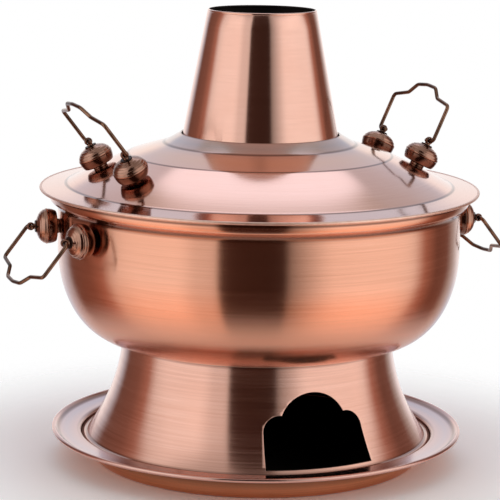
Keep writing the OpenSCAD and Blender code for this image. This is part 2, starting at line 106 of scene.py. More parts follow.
# Degrees from the camera's side, brightness, tint, and 1 where the white paper hangs
ROOM = [
    (-180, 0.75, COOL, 1), (-158, 0.75, COOL, 1), (-143, 0.55, COOL, 0), (-134, 0.16, WARM, 0),
    (-112, 0.22, WARM, 0), (-99, 0.4, WARM, 0), (-90, 0.8, PLAIN, 0), (-72, 1.05, PLAIN, 1),
    (-48, 1.1, PLAIN, 1), (-36, 0.8, PLAIN, 0), (-23.5, 0.75, PLAIN, 0), (-21.5, 0.045, WARM, 0),
    (15, 0.035, WARM, 0), (18, 0.28, PLAIN, 0), (33, 0.75, PLAIN, 0), (45, 1.05, PLAIN, 1),
    (62, 1.15, PLAIN, 1), (84, 1.1, PLAIN, 1), (98, 0.9, PLAIN, 0), (108, 0.4, WARM, 0),
    (121, 0.16, WARM, 0), (135, 0.18, WARM, 0), (146, 0.45, PLAIN, 0), (162, 0.7, COOL, 1),
    (180, 0.75, COOL, 1),
]
CEILING, SOFT_BOX, SOFT_BOX_LEAN = 0.5, 1.35, 0.9
WARM_TABLE = (1.1, 0.72, 0.55)
print(len(ROOM), "directions in the room")


# %% Helper for node trees
def math_node(nodes, link, operation, *values, clamp=False):
    """A Math node fed by sockets or plain numbers; returns its output."""
    node = nodes.new("ShaderNodeMath")
    node.operation = operation
    node.use_clamp = clamp
    for socket, value in zip(node.inputs, values):
        if isinstance(value, (int, float)):
            socket.default_value = value
        else:
            link(value, socket)
    return node.outputs[0]


# %% Studio: an empty world, and short ways to add nodes to it
world = bpy.data.worlds.new("studio")
scene.world = world
world.use_nodes = True
sky, wire = world.node_tree.nodes, world.node_tree.links.new
sky.clear()


def room_node(kind, **settings):
    node = sky.new(kind)
    for key, value in settings.items():
        setattr(node, key, value)
    return node


def room_math(operation, *values):
    return math_node(sky, wire, operation, *values)


def room_dot(vector, along):
    dot = room_node("ShaderNodeVectorMath", operation="DOT_PRODUCT")
    wire(vector, dot.inputs[0])
    dot.inputs[1].default_value = along
    return dot.outputs["Value"]


def room_ramp(value, low, high, kind="SMOOTHSTEP"):
    ramp = room_node("ShaderNodeMapRange", interpolation_type=kind)
    wire(value, ramp.inputs["Value"])
    ramp.inputs["From Min"].default_value, ramp.inputs["From Max"].default_value = low, high
    return ramp.outputs[0]


def room_mix(mask, below, color, blend="MIX"):
    mix = room_node("ShaderNodeMix", data_type="RGBA", blend_type=blend)
    wire(mask, mix.inputs["Factor"])
    wire(below, mix.inputs["A"])
    mix.inputs["B"].default_value = (*color, 1)
    return mix.outputs["Result"]


# %% Studio: walls
look = room_node("ShaderNodeTexCoord").outputs["Generated"]
side = room_dot(look, (cos(CAMERA_TURN), sin(CAMERA_TURN), 0))
front = room_dot(look, (sin(CAMERA_TURN), -cos(CAMERA_TURN), 0))
height = room_dot(look, (0, 0, 1))
compass = room_math("ARCTAN2", side, front)
walls = room_node("ShaderNodeValToRGB")
wire(room_ramp(compass, -pi, pi, "LINEAR"), walls.inputs["Fac"])
stops = walls.color_ramp.elements
while len(stops) < len(ROOM):
    stops.new(0.5)
for stop, (angle, light, tint, hung) in zip(stops, ROOM):
    stop.position = (angle + 180) / 360
    stop.color = (*[light * c for c in tint], hung)

# %% Studio: a warm table far below, the ceiling, and a long soft box behind the pot
below = room_ramp(height, -0.2, -0.6)
overhead = room_math("ADD", height, room_math("MULTIPLY", room_math("MULTIPLY", side, side), 1.6))
ceiling = room_math("MULTIPLY", room_ramp(overhead, 0.84, 0.88), room_ramp(height, 0.62, 0.74))
# The box's lower edge comes down at the ends. It starts behind the pot, and it leans, so that
# its upper edge runs along the lid's dome as a ring
ends_down = room_math("ADD", height, room_math("MULTIPLY", room_math("ABSOLUTE", side), 0.35))
leaning = room_dot(look, (-SOFT_BOX_LEAN * sin(CAMERA_TURN), SOFT_BOX_LEAN * cos(CAMERA_TURN), 1))
soft_box = room_ramp(ends_down, 0.73, 0.79)
for limit in (room_ramp(leaning, 1.278, 1.298), room_ramp(front, 0.0, -0.2)):
    soft_box = room_math("MULTIPLY", soft_box, limit)
room = room_mix(below, walls.outputs["Color"], WARM_TABLE, "MULTIPLY")
room = room_mix(ceiling, room, [CEILING * c for c in PLAIN])
room = room_mix(soft_box, room, [SOFT_BOX * c for c in COOL])
room_light = room_node("ShaderNodeBackground")
wire(room, room_light.inputs["Color"])

# %% Studio: white paper, seen all round by the camera, and where it hangs by metal and glass
paper = room_node("ShaderNodeBackground")
paper.inputs["Color"].default_value = (1, 1, 1, 1)
rays = room_node("ShaderNodeLightPath").outputs
at_horizon = room_math("MULTIPLY", room_ramp(height, 0.35, 0.2), room_ramp(height, -0.3, -0.15))
hangs = room_math("MULTIPLY", walls.outputs["Alpha"], at_horizon)
bounced = room_math("MAXIMUM", rays["Is Glossy Ray"], rays["Is Transmission Ray"])
mirrored = room_math("MULTIPLY", hangs, bounced)
seen = room_node("ShaderNodeMixShader")
wire(room_math("MAXIMUM", rays["Is Camera Ray"], mirrored), seen.inputs["Fac"])
wire(room_light.outputs[0], seen.inputs[1])
wire(paper.outputs[0], seen.inputs[2])
wire(seen.outputs[0], room_node("ShaderNodeOutputWorld").inputs["Surface"])
print(len(sky), "nodes in the studio")

# %% Studio: a small pale table that fades out into the white
FLOOR_SEEN, FLOOR_LIT = 1.4, 0.7
FADE_FROM, FADE_TO = 0.15, 0.33

bpy.ops.mesh.primitive_circle_add(vertices=96, radius=FADE_TO, fill_type="NGON")
floor = bpy.context.object
floor.name = "floor"
paint = bpy.data.materials.new("floor white")
paint.use_nodes = True
floor_nodes, tie = paint.node_tree.nodes, paint.node_tree.links.new
floor_nodes.clear()
rays = floor_nodes.new("ShaderNodeLightPath").outputs
looked_at = rays["Is Camera Ray"]
for kind in ("Is Glossy Ray", "Is Transmission Ray"):
    looked_at = math_node(floor_nodes, tie, "MAXIMUM", looked_at, rays[kind])
shade = floor_nodes.new("ShaderNodeMix")
shade.data_type = "RGBA"
shade.clamp_result = False
shade.inputs["A"].default_value = (FLOOR_LIT, FLOOR_LIT, FLOOR_LIT, 1)
shade.inputs["B"].default_value = (FLOOR_SEEN, FLOOR_SEEN, FLOOR_SEEN, 1)
tie(looked_at, shade.inputs["Factor"])
matt = floor_nodes.new("ShaderNodeBsdfDiffuse")
tie(shade.outputs["Result"], matt.inputs["Color"])
from_middle = floor_nodes.new("ShaderNodeVectorMath")
from_middle.operation = "LENGTH"
tie(floor_nodes.new("ShaderNodeTexCoord").outputs["Object"], from_middle.inputs[0])
fade = floor_nodes.new("ShaderNodeMapRange")
fade.interpolation_type = "SMOOTHSTEP"
fade.inputs["From Min"].default_value, fade.inputs["From Max"].default_value = FADE_FROM, FADE_TO
tie(from_middle.outputs["Value"], fade.inputs["Value"])
table = floor_nodes.new("ShaderNodeMixShader")
tie(fade.outputs[0], table.inputs["Fac"])
tie(matt.outputs[0], table.inputs[1])
tie(floor_nodes.new("ShaderNodeBsdfTransparent").outputs[0], table.inputs[2])
tie(table.outputs[0], floor_nodes.new("ShaderNodeOutputMaterial").inputs["Surface"])
floor.data.materials.append(paint)
print("floor fades out from", FADE_FROM, "to", FADE_TO, "m")

# %% [markdown]
# ## Sizes shared with the CAD model
#
# scene.py can't read the CAD source, so the values that shape its pieces are repeated here, in
# millimetres. Where a node's box can give a value, it is read from the frame instead.

# %% Sizes in millimetres
BOWL_T, SHEET_T, GAP = 1.5, 1.2, 0.1
TRAY_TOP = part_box("tray")[1].z / MM
TRAY_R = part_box("tray")[1].x / MM
BRIM_Z = TRAY_TOP - 2.6
LEDGE_Z = BRIM_Z - 5
FOOT_Z = LEDGE_Z + GAP
BOWL_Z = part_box("stand")[1].z / MM
LIP_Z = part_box("bowl")[1].z / MM
TOP_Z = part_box("chimney")[1].z / MM
STAND_R, FLARE_R, FLARE_START, FOOT_BEAD = 92.8, 130, radians(4), 1.5
BOWL_R, BOWL_ROUND, SQUARE = 137.6, 64, 2.1
FLOOR_R = STAND_R + 1.2
LIP_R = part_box("bowl")[1].x / MM
CHIMNEY_R, TAPER, FLUE_BEAD = 36.8, 0.19, 0.9
LID_R, CREASE_R, SHOULDER_R = LIP_R + 6.2, LIP_R - 11.8, LIP_R - 53.8
print("heights", [round(v, 1) for v in (TRAY_TOP, BOWL_Z, LIP_Z, TOP_Z)])


def arc(centre, radius, start, end, steps=8):
    """Points of an arc in the (radius, height) plane, with its angles in degrees."""
    angles = [radians(start + (end - start) * i / steps) for i in range(steps + 1)]
    return [(centre[0] + radius * cos(a), centre[1] + radius * sin(a)) for a in angles]


def chimney_at(z):
    return CHIMNEY_R + TAPER * (TOP_Z - z)


# %% [markdown]
# ## Turning an outline, as a metal spinner does
#
# Every round piece of the pot was pressed against a turning form. Blender's Spin tool does the
# same: the edge of a circle primitive is laid along the outline of the cut sheet, thickness and
# all, and is swept round the axis. A Screw modifier would do as well, but the tool leaves a
# plain mesh that can be cut and joined at once.

# %% Select, spin and shade
def pick(piece):
    bpy.ops.object.select_all(action="DESELECT")
    piece.select_set(True)
    bpy.context.view_layer.objects.active = piece


def tidy(piece):
    """Merge the seam and the poles, and turn all faces outwards."""
    pick(piece)
    bpy.ops.object.mode_set(mode="EDIT")
    bpy.ops.mesh.select_all(action="SELECT")
    bpy.ops.mesh.remove_doubles(threshold=2e-6)
    bpy.ops.mesh.delete_loose(use_verts=True, use_edges=True, use_faces=False)
    bpy.ops.mesh.select_all(action="SELECT")
    bpy.ops.mesh.normals_make_consistent(inside=False)
    bpy.ops.object.mode_set(mode="OBJECT")


def smooth(piece, angle=32):
    pick(piece)
    bpy.ops.object.shade_smooth_by_angle(angle=radians(angle))


def spin(name, outline, steps=192):
    """Turn a closed outline of (radius, height) points round the Z axis."""
    bpy.ops.object.select_all(action="DESELECT")
    bpy.ops.mesh.primitive_circle_add(vertices=len(outline), radius=0.1, fill_type="NOTHING")
    piece = bpy.context.object
    piece.name = piece.data.name = name
    for corner, (radius, z) in zip(piece.data.vertices, outline):
        corner.co = (radius * MM, 0, z * MM)
    bpy.ops.object.mode_set(mode="EDIT")
    bpy.ops.mesh.select_all(action="SELECT")
    bpy.ops.mesh.spin(steps=steps, angle=2 * pi, center=(0, 0, 0), axis=(0, 0, 1))
    bpy.ops.object.mode_set(mode="OBJECT")
    tidy(piece)
    smooth(piece)
    return piece


def report(piece):
    size = [round(v / MM, 1) for v in piece.dimensions]
    print(piece.name, len(piece.data.polygons), "faces, box", size)


# %% [markdown]
# ## Finishes
#
# The sheet is lathe-brushed copper: fine rings all round it from the abrasive, under a clear
# satin shine. The rings make reflections spread up and down but hardly sideways, so the room's
# upright edges stay crisp. The streak pattern is a noise that changes slowly round the axis and
# fast across it. It steers colour, roughness and a very shallow bump, and is built once as a
# node group. The knobs and bails are the same copper, darkened with age in patches, and the
# knobs' cups, towards the wall, are painted darker than their caps as painted shade.

# %% Helpers for node groups
def new_group(name, inputs, outputs):
    group = bpy.data.node_groups.new(name, "ShaderNodeTree")
    for label, value in inputs:
        socket = group.interface.new_socket(label, in_out="INPUT", socket_type="NodeSocketFloat")
        socket.default_value = value
    for label, kind in outputs:
        group.interface.new_socket(label, in_out="OUTPUT", socket_type=kind)
    nodes = group.nodes
    return group, nodes.new("NodeGroupInput"), nodes.new("NodeGroupOutput")


def calc(operation, *values, clamp=False):
    """A Math node in the group that is being built, the one that nodes and link belong to."""
    return math_node(nodes, link, operation, *values, clamp=clamp)


def length_of(a, b):
    return calc("SQRT", calc("ADD", *[calc("MULTIPLY", v, v) for v in (a, b)]))


# %% Node group: lathe streaks
streaks, ins, outs = new_group(
    "lathe streaks",
    [("Along", 2.0), ("Across", 900.0), ("Contrast", 1.0)],
    [("Streak", "NodeSocketFloat"), ("Band", "NodeSocketFloat")],
)
nodes, link = streaks.nodes, streaks.links.new
place = nodes.new("ShaderNodeSeparateXYZ")
link(nodes.new("ShaderNodeTexCoord").outputs["Object"], place.inputs[0])
x, y, z = place.outputs
radius = length_of(x, y)
safe = calc("MAXIMUM", radius, 0.001)


def ring_noise(across, along, detail):
    """Noise that is drawn out round the axis: direction is slow, radius and height are fast."""
    spot = nodes.new("ShaderNodeCombineXYZ")
    for socket, part in zip(spot.inputs, (x, y)):
        direction = calc("DIVIDE", part, safe)
        link(calc("MULTIPLY", direction, along), socket)
    link(calc("MULTIPLY", z, across), spot.inputs[2])
    noise = nodes.new("ShaderNodeTexNoise")
    noise.noise_dimensions = "4D"
    noise.inputs["Scale"].default_value = 1
    noise.inputs["Detail"].default_value = detail
    link(spot.outputs[0], noise.inputs["Vector"])
    link(calc("MULTIPLY", radius, across), noise.inputs["W"])
    return noise.outputs["Fac"]


fine = ring_noise(ins.outputs["Across"], ins.outputs["Along"], 2)
broad = ring_noise(calc("MULTIPLY", ins.outputs["Across"], 0.12), 1.2, 3)
shares = [calc("MULTIPLY", noise, part) for noise, part in ((fine, 0.65), (broad, 0.35))]
centred = calc("SUBTRACT", calc("ADD", *shares), 0.5)
contrast = calc("MULTIPLY", ins.outputs["Contrast"], 2.2)
spread = calc("MULTIPLY", centred, contrast)
link(calc("ADD", spread, 0.5, clamp=True), outs.inputs["Streak"])
link(broad, outs.inputs["Band"])

# %% Node group: mottling, for tarnish and soot
mottle, ins, outs = new_group(
    "mottling",
    [("Size", 60.0), ("Amount", 0.5), ("Sharpness", 3.0)],
    [("Mask", "NodeSocketFloat"), ("Grain", "NodeSocketFloat")],
)
nodes, link = mottle.nodes, mottle.links.new
where = nodes.new("ShaderNodeTexCoord").outputs["Object"]
patches, grain = nodes.new("ShaderNodeTexNoise"), nodes.new("ShaderNodeTexNoise")
for noise, times in ((patches, 1), (grain, 9)):
    link(where, noise.inputs["Vector"])
    link(calc("MULTIPLY", ins.outputs["Size"], times), noise.inputs["Scale"])
    noise.inputs["Detail"].default_value = 4
centred = calc("SUBTRACT", patches.outputs["Fac"], 0.5)
hard = calc("MULTIPLY", centred, ins.outputs["Sharpness"])
link(calc("ADD", hard, ins.outputs["Amount"], clamp=True), outs.inputs["Mask"])
link(grain.outputs["Fac"], outs.inputs["Grain"])

# %% Node group: a soft ring round the axis, for tarnish in a crease
ring_mask, ins, outs = new_group(
    "ring mask",
    [("Radius", 0.1), ("Height", 0.1), ("Reach", 0.005)],
    [("Mask", "NodeSocketFloat")],
)
nodes, link = ring_mask.nodes, ring_mask.links.new
place = nodes.new("ShaderNodeSeparateXYZ")
link(nodes.new("ShaderNodeTexCoord").outputs["Object"], place.inputs[0])
radius = length_of(*place.outputs[:2])
off_ring = calc("SUBTRACT", radius, ins.outputs["Radius"])
off_height = calc("SUBTRACT", place.outputs[2], ins.outputs["Height"])
off = length_of(off_ring, off_height)
share = calc("DIVIDE", off, ins.outputs["Reach"])
near = calc("SUBTRACT", 1, share, clamp=True)
link(calc("POWER", near, 0.8), outs.inputs["Mask"])


# %% Finishes: brushed copper
class Finish:
    """A new material with its shader, and short ways to add and wire nodes."""

    def __init__(self, name, color, roughness, metallic=1.0):
        self.material = bpy.data.materials.new(name)
        self.material.use_nodes = True
        self.nodes = self.material.node_tree.nodes
        self.link = self.material.node_tree.links.new
        self.shader = self.nodes["Principled BSDF"]
        self.color = color
        self.shader.inputs["Base Color"].default_value = (*color, 1)
        self.shader.inputs["Roughness"].default_value = roughness
        self.shader.inputs["Metallic"].default_value = metallic

    def group(self, tree, **values):
        node = self.nodes.new("ShaderNodeGroup")
        node.node_tree = tree
        for key, value in values.items():
            node.inputs[key].default_value = value
        return node

    def tint(self, mask, color):
        """Blend the colour so far towards another one, by a mask."""
        mix = self.nodes.new("ShaderNodeMix")
        mix.data_type = "RGBA"
        self.link(mask, mix.inputs["Factor"])
        if isinstance(self.color, tuple):
            mix.inputs["A"].default_value = (*self.color, 1)
        else:
            self.link(self.color, mix.inputs["A"])
        mix.inputs["B"].default_value = (*color, 1)
        self.color = mix.outputs["Result"]
        self.link(self.color, self.shader.inputs["Base Color"])

    def tint_rings(self, color, *rings):
        """Tint the metal near rings round the axis: radius, height and reach in mm."""
        for radius, z, reach in rings:
            mask = self.group(ring_mask, Radius=radius * MM, Height=z * MM, Reach=reach * MM)
            self.tint(mask.outputs["Mask"], color)

    def rough(self, mask, low, high):
        ramp = self.nodes.new("ShaderNodeMapRange")
        self.link(mask, ramp.inputs["Value"])
        ramp.inputs["To Min"].default_value, ramp.inputs["To Max"].default_value = low, high
        self.link(ramp.outputs[0], self.shader.inputs["Roughness"])

    def bump(self, mask, distance, strength=1.0):
        bump = self.nodes.new("ShaderNodeBump")
        bump.inputs["Distance"].default_value = distance
        bump.inputs["Strength"].default_value = strength
        self.link(mask, bump.inputs["Height"])
        self.link(bump.outputs[0], self.shader.inputs["Normal"])

    def round_the_axis(self, amount):
        """Stretch the shine across the lathe rings."""
        tangent = self.nodes.new("ShaderNodeTangent")
        tangent.direction_type, tangent.axis = "RADIAL", "Z"
        self.link(tangent.outputs[0], self.shader.inputs["Tangent"])
        self.shader.inputs["Anisotropic"].default_value = amount
        self.shader.inputs["Anisotropic Rotation"].default_value = 0.25


STAIN = (0.95, 0.84, 0.78)


def brushed_copper(name, light, dark, streak, rough, depth, stretch):
    """Copper with lathe streaks, so fine across and along, and so rough, deep and stretched."""
    finish = Finish(name, dark, 0.25)
    across, along = streak
    rings = finish.group(streaks, Along=along, Across=across, Contrast=1.0)
    stain = finish.group(mottle, Size=14.0, Amount=0.2, Sharpness=2.0)
    finish.tint(rings.outputs["Streak"], light)
    finish.tint(stain.outputs["Mask"], tuple(c * k for c, k in zip(light, STAIN)))
    finish.rough(rings.outputs["Streak"], *rough)
    finish.bump(rings.outputs["Streak"], depth)
    finish.round_the_axis(stretch)
    finish.shader.inputs["Coat Weight"].default_value = 0.35
    finish.shader.inputs["Coat Roughness"].default_value = 0.1
    return finish


PALE, RED, UNDER_SHADE_AND_REFLECTION = (0.93, 0.56, 0.45), (0.93, 0.5, 0.35), (0.74, 0.33, 0.17)
RED_STREAK = (0.76, 0.35, 0.22)
bowl_copper = brushed_copper(
    "brushed copper, bowl", RED, RED_STREAK,
    streak=(1400, 1.6), rough=(0.15, 0.24), depth=0.00001, stretch=0.9,
)
stand_copper = brushed_copper(
    "brushed copper, stand", PALE, (0.72, 0.37, 0.27),
    streak=(800, 1.3), rough=(0.14, 0.24), depth=0.000012, stretch=0.9,
)
lid_copper = brushed_copper(
    "brushed copper, lid", PALE, (0.84, 0.48, 0.38),
    streak=(1200, 2.4), rough=(0.09, 0.14), depth=0.000004, stretch=0.4,
)
tray_copper = brushed_copper(
    "brushed copper, tray", RED, RED_STREAK,
    streak=(1300, 1.6), rough=(0.12, 0.2), depth=0.000006, stretch=0.6,
)
# A deeper, redder copy of the copper for the tray's underside: painted shade and a painted warm
# reflection
under_copper_painted = brushed_copper(
    "brushed copper, under the tray", UNDER_SHADE_AND_REFLECTION, (0.52, 0.2, 0.1),
    streak=(1300, 1.6), rough=(0.16, 0.26), depth=0.000006, stretch=0.6,
)
flue_copper = brushed_copper(
    "smooth copper, chimney", PALE, (0.86, 0.5, 0.39),
    streak=(1100, 2.4), rough=(0.13, 0.19), depth=0.000005, stretch=0.85,
)

# %% Finishes: soot, darkened copper, worn edges with a painted highlight, and iron
sooty = Finish("sooty copper", (0.022, 0.015, 0.012), 0.8, 0)
soot = sooty.group(mottle, Size=45.0, Amount=0.55, Sharpness=2.5)
sooty.tint(soot.outputs["Mask"], (0.01, 0.008, 0.007))
sooty.rough(soot.outputs["Mask"], 0.7, 0.95)
sooty.bump(soot.outputs["Grain"], 0.0001)
sooty.shader.inputs["Specular IOR Level"].default_value = 0.15


def aged(name, light, dark, rough):
    finish = Finish(name, light, 0.3)
    tarnish = finish.group(mottle, Size=110.0, Amount=0.42, Sharpness=2.0)
    finish.tint(tarnish.outputs["Mask"], dark)
    finish.rough(tarnish.outputs["Mask"], *rough)
    finish.bump(tarnish.outputs["Grain"], 0.00002)
    return finish


# Caps and cups are lit and shaded copies of one darkened copper: the cups, towards the wall, are
# painted darker as painted shade
cap_copper = aged("darkened copper, caps", (0.54, 0.3, 0.22), (0.24, 0.115, 0.075), (0.1, 0.22))
cup_copper_painted_shade = aged("darkened copper, cups, painted shade", (0.24, 0.115, 0.08), (0.1, 0.045, 0.03), (0.12, 0.24))
bail_copper = aged(
    "darkened copper, bails", (0.33, 0.175, 0.11), (0.045, 0.028, 0.02), (0.12, 0.26))
fitting_copper = aged(
    "darkened copper, fittings", (0.3, 0.15, 0.1), (0.1, 0.05, 0.035), (0.22, 0.4))
black_washer = aged(
    "blackened copper, washers", (0.06, 0.035, 0.028), (0.02, 0.014, 0.012), (0.3, 0.5))

# Edges rubbed bright: real wear, and a paler colour that is a painted highlight along beads and
# edges
wear_and_highlight = Finish("copper, rubbed bright at edges, with painted highlight", (0.96, 0.68, 0.57), 0.4)
scuffs = wear_and_highlight.group(mottle, Size=300.0, Amount=0.3, Sharpness=2.0)
wear_and_highlight.tint(scuffs.outputs["Mask"], (0.85, 0.52, 0.41))

iron = Finish("cast iron, grate", (0.045, 0.042, 0.04), 0.7, 0.6)
rust = iron.group(mottle, Size=70.0, Amount=0.3, Sharpness=3.0)
iron.tint(rust.outputs["Mask"], (0.13, 0.06, 0.035))
iron.rough(rust.outputs["Mask"], 0.55, 0.85)
iron.bump(rust.outputs["Grain"], 0.0004)
print(len(bpy.data.materials), "materials")

# %% Tints for rings round the axis
# Creases with patina and painted shade, the tray's brim, painted greyer as a painted reflection,
# its underside in painted shade, the lid's collar, painted duller as a painted reflection, and
# the slope below that, painted warmer as a painted reflection of the chimney
CREASE_PATINA_AND_SHADE = (0.2, 0.085, 0.055)
PAINTED_BRIM_REFLECTION, SHADED = (0.6, 0.43, 0.44), (0.12, 0.045, 0.025)
PAINTED_COLLAR_REFLECTION, PAINTED_CHIMNEY_REFLECTION = (0.6, 0.44, 0.4), (0.9, 0.51, 0.36)


# %% Dress a piece
def dress(piece, finish, slot_name, body, *nodes_replaced):
    piece.data.materials.clear()
    piece.data.materials.append(finish.material)
    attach(piece, body)
    if nodes_replaced:
        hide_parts(*nodes_replaced)
    report(piece)


def refinish(piece, finish, choose):
    """Give some faces another finish, chosen by radius, height and how far they look out."""
    piece.data.materials.append(finish.material)
    index = len(piece.data.materials) - 1
    for face in piece.data.polygons:
        x, y, z = face.center / MM
        r = hypot(x, y)
        outwards = (face.normal.x * x + face.normal.y * y) / max(r, 1e-6)
        if choose(r, z, outwards):
            face.material_index = index


# %% [markdown]
# ## The tray
#
# The tray is one pressed dish. A flat pan stands on the table, a narrow ledge carries the pot's
# foot, and the wide brim ends in a wire rolled into its rim. Its outline runs along the upper
# face from the middle, round the rim's bead, and back along the underside. The pan is black
# with ash. The underside is painted a deeper copper, as painted shade and a painted warm
# reflection, and it is painted darkest behind the rim, as painted shade.

# %% Tray
T, BEND, RIM_BEAD = SHEET_T, 2.4, 1.5
foot_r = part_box("stand")[1].x / MM - FOOT_BEAD
pan_r = foot_r - 4.8
well_r = foot_r + FOOT_BEAD + 1.6
rim = (TRAY_R - RIM_BEAD, TRAY_TOP - RIM_BEAD)
tray_outline = (
    [(0, T)]
    + arc((pan_r - T - BEND, T + BEND), BEND, -90, 0)
    + arc((pan_r - T + BEND, LEDGE_Z - BEND), BEND, 180, 90)
    + arc((well_r - BEND, LEDGE_Z + BEND), BEND, -90, 0)
    + arc((well_r + BEND, BRIM_Z - BEND), BEND, 180, 90)
    + [(TRAY_R - 7.2, BRIM_Z), (TRAY_R - 5.6, BRIM_Z + 0.25), (TRAY_R - 4.2, BRIM_Z + 0.95)]
    + arc(rim, RIM_BEAD, 150, -105, 14)
    + [(TRAY_R - 3.4, BRIM_Z - 0.35), (TRAY_R - 5.4, BRIM_Z - T + 0.05), (TRAY_R - 7.2, BRIM_Z - T)]
    + arc((well_r + BEND, BRIM_Z - BEND), BEND - T, 90, 180)
    + arc((well_r - BEND, LEDGE_Z + BEND), BEND + T, 0, -90)
    + arc((pan_r - T + BEND, LEDGE_Z - BEND), BEND - T, 90, 180)
    + arc((pan_r - T - BEND, T + BEND), BEND + T, 0, -90)
    + [(0, 0)]
)
tray = spin("tray_dish", tray_outline, 240)
# The brim is painted greyer: a painted reflection of the cool room above it
tray_copper.tint_rings(PAINTED_BRIM_REFLECTION, ((well_r + TRAY_R) / 2, BRIM_Z, 16))
# Painted shade and patina: darker copper in the well's corner, by the rim bead and under the brim
tray_copper.tint_rings(
    CREASE_PATINA_AND_SHADE, (well_r - 1, LEDGE_Z + 1, 6), (rim[0] - 2.6, BRIM_Z + 0.3, 1.8),
    (rim[0] - 3, BRIM_Z - 1.8, 3),
)
# Painted shade under the ledge and behind the rim bead
under_copper_painted.tint_rings(SHADED, (pan_r, LEDGE_Z - 1.2, 7), (rim[0] - 2.6, BRIM_Z - 1.6, 2.5))


def in_pan(r, z, outwards):
    return r < pan_r - T + 0.3 and z > 0.6 and outwards < 0.3


def underneath(r, z, outwards):
    return z < BRIM_Z - 0.35 and (outwards > 0.3 or r > well_r + 1.5 or z < 0.3)


dress(tray, tray_copper, "brushed_copper", "tray", "tray")
refinish(tray, sooty, in_pan)
# The underside gets the deeper copper: painted shade and a painted warm reflection
refinish(tray, under_copper_painted, underneath)

# %% [markdown]
# ## The stand
#
# The stand is a flared skirt with a bead rolled into its foot and a flange turned in under the
# bowl. The draft opening was sawn out: a round middle lobe, a smaller lobe each side and sloping
# jambs. The shape is drawn flat, pushed through the skirt as a cutter, and taken away with a
# Boolean. The saw leaves square edges, which a Bevel softens so that they catch the light.

# %% Stand: skirt
skirt_end = asin((BOWL_Z - FOOT_Z - FOOT_BEAD) / FLARE_R + sin(FLARE_START))
SKIRT_STEPS, FLANGE_W, SEAM_ROUND = 36, 9, 1.6


def skirt_point(step, inset):
    a = FLARE_START + (skirt_end - FLARE_START) * step / SKIRT_STEPS
    return (
        STAND_R + FLARE_R * (cos(FLARE_START) - cos(a)) - inset * cos(a),
        BOWL_Z - FLARE_R * (sin(a) - sin(FLARE_START)) - inset * sin(a),
    )


def clear_of_flange(points):
    return [p for p in points if p[1] < BOWL_Z - 1.7]


skirt_outline = (
    [(STAND_R - FLANGE_W, BOWL_Z - T), (STAND_R - FLANGE_W, BOWL_Z)]
    + arc((STAND_R - SEAM_ROUND, BOWL_Z - SEAM_ROUND), SEAM_ROUND, 90, 0, 5)
    + clear_of_flange([skirt_point(i, 0) for i in range(SKIRT_STEPS)])
    + arc((foot_r, FOOT_Z + FOOT_BEAD), FOOT_BEAD, 58, -240, 20)
    + clear_of_flange([skirt_point(i, T) for i in range(SKIRT_STEPS - 1, -1, -1)])
    + [(STAND_R - 1.7, BOWL_Z - T)]
)
stand = spin("stand_skirt", skirt_outline, 256)

# %% Stand: draft opening
SILL_Z, HALF_W = LEDGE_Z + 5.4, 37.8
SIDE_R, SIDE_H, MID_R, MID_H = 12, 20.6, 24.3, 22.1
DRAFT_TURN = radians(-1.9)
SAW_START, SAW_LENGTH = 0.06, 0.08
side_x = HALF_W - SIDE_R - 2.6
apart = hypot(side_x, MID_H - SIDE_H)
reach = (apart**2 + SIDE_R**2 - MID_R**2) / (2 * apart)
tilt = atan2(MID_H - SIDE_H, -side_x)
cusp_angle = tilt - acos(reach / SIDE_R)
cusp = (side_x + SIDE_R * cos(cusp_angle), SIDE_H + SIDE_R * sin(cusp_angle))
mid_angle = degrees(atan2(cusp[1] - MID_H, cusp[0]))
half_arch = (
    [(HALF_W, 0)]
    + arc((side_x, SIDE_H), SIDE_R, 0, degrees(cusp_angle), 16)[:-1]
    + arc((0, MID_H), MID_R, mid_angle, 90, 20)
)
arch = half_arch + [(-u, v) for u, v in reversed(half_arch[:-1])]

bpy.ops.object.select_all(action="DESELECT")
bpy.ops.mesh.primitive_circle_add(vertices=len(arch), radius=0.1, fill_type="NGON")
saw = bpy.context.object
for corner, (u, v) in zip(saw.data.vertices, arch):
    corner.co = (u * MM, -SAW_START, (SILL_Z + v) * MM)
bpy.ops.object.mode_set(mode="EDIT")
bpy.ops.mesh.select_all(action="SELECT")
bpy.ops.mesh.extrude_region_move(TRANSFORM_OT_translate={"value": (0, -SAW_LENGTH, 0)})
bpy.ops.mesh.select_all(action="SELECT")
bpy.ops.mesh.normals_make_consistent(inside=False)
bpy.ops.object.mode_set(mode="OBJECT")
saw.data.transform(Matrix.Rotation(DRAFT_TURN, 4, "Z"))


def apply_modifier(piece, kind, **settings):
    pick(piece)
    modifier = piece.modifiers.new(kind.lower(), kind)
    for key, value in settings.items():
        setattr(modifier, key, value)
    bpy.ops.object.modifier_apply(modifier=modifier.name)


def cut(piece, tool):
    """Take a tool's shape away from a piece. The tool is used up."""
    apply_modifier(piece, "BOOLEAN", operation="DIFFERENCE", object=tool, solver="EXACT")
    bpy.data.objects.remove(tool)


def soften(piece, width, angle):
    """Round the edges that are sharper than an angle in degrees."""
    limit = radians(angle)
    apply_modifier(piece, "BEVEL", width=width, segments=2, limit_method="ANGLE", angle_limit=limit)


cut(stand, saw)
soften(stand, 0.00035, 60)
smooth(stand, 30)

# %% Stand: finish, with soot inside, and bright metal at the sawn edge, the seam and the foot: wear and a painted highlight
# Painted shade and patina: darker copper at the seam under the bowl and above the foot bead
stand_copper.tint_rings(CREASE_PATINA_AND_SHADE, (STAND_R, BOWL_Z, 3.5), (foot_r - 0.6, FOOT_Z + 3.6, 1.6))


def inside_stand(r, z, outwards):
    return outwards < -0.7 or (r < STAND_R - 0.5 and z < BOWL_Z - 0.6)


dress(stand, stand_copper, "brushed_copper", "pot", "stand")
refinish(stand, sooty, inside_stand)
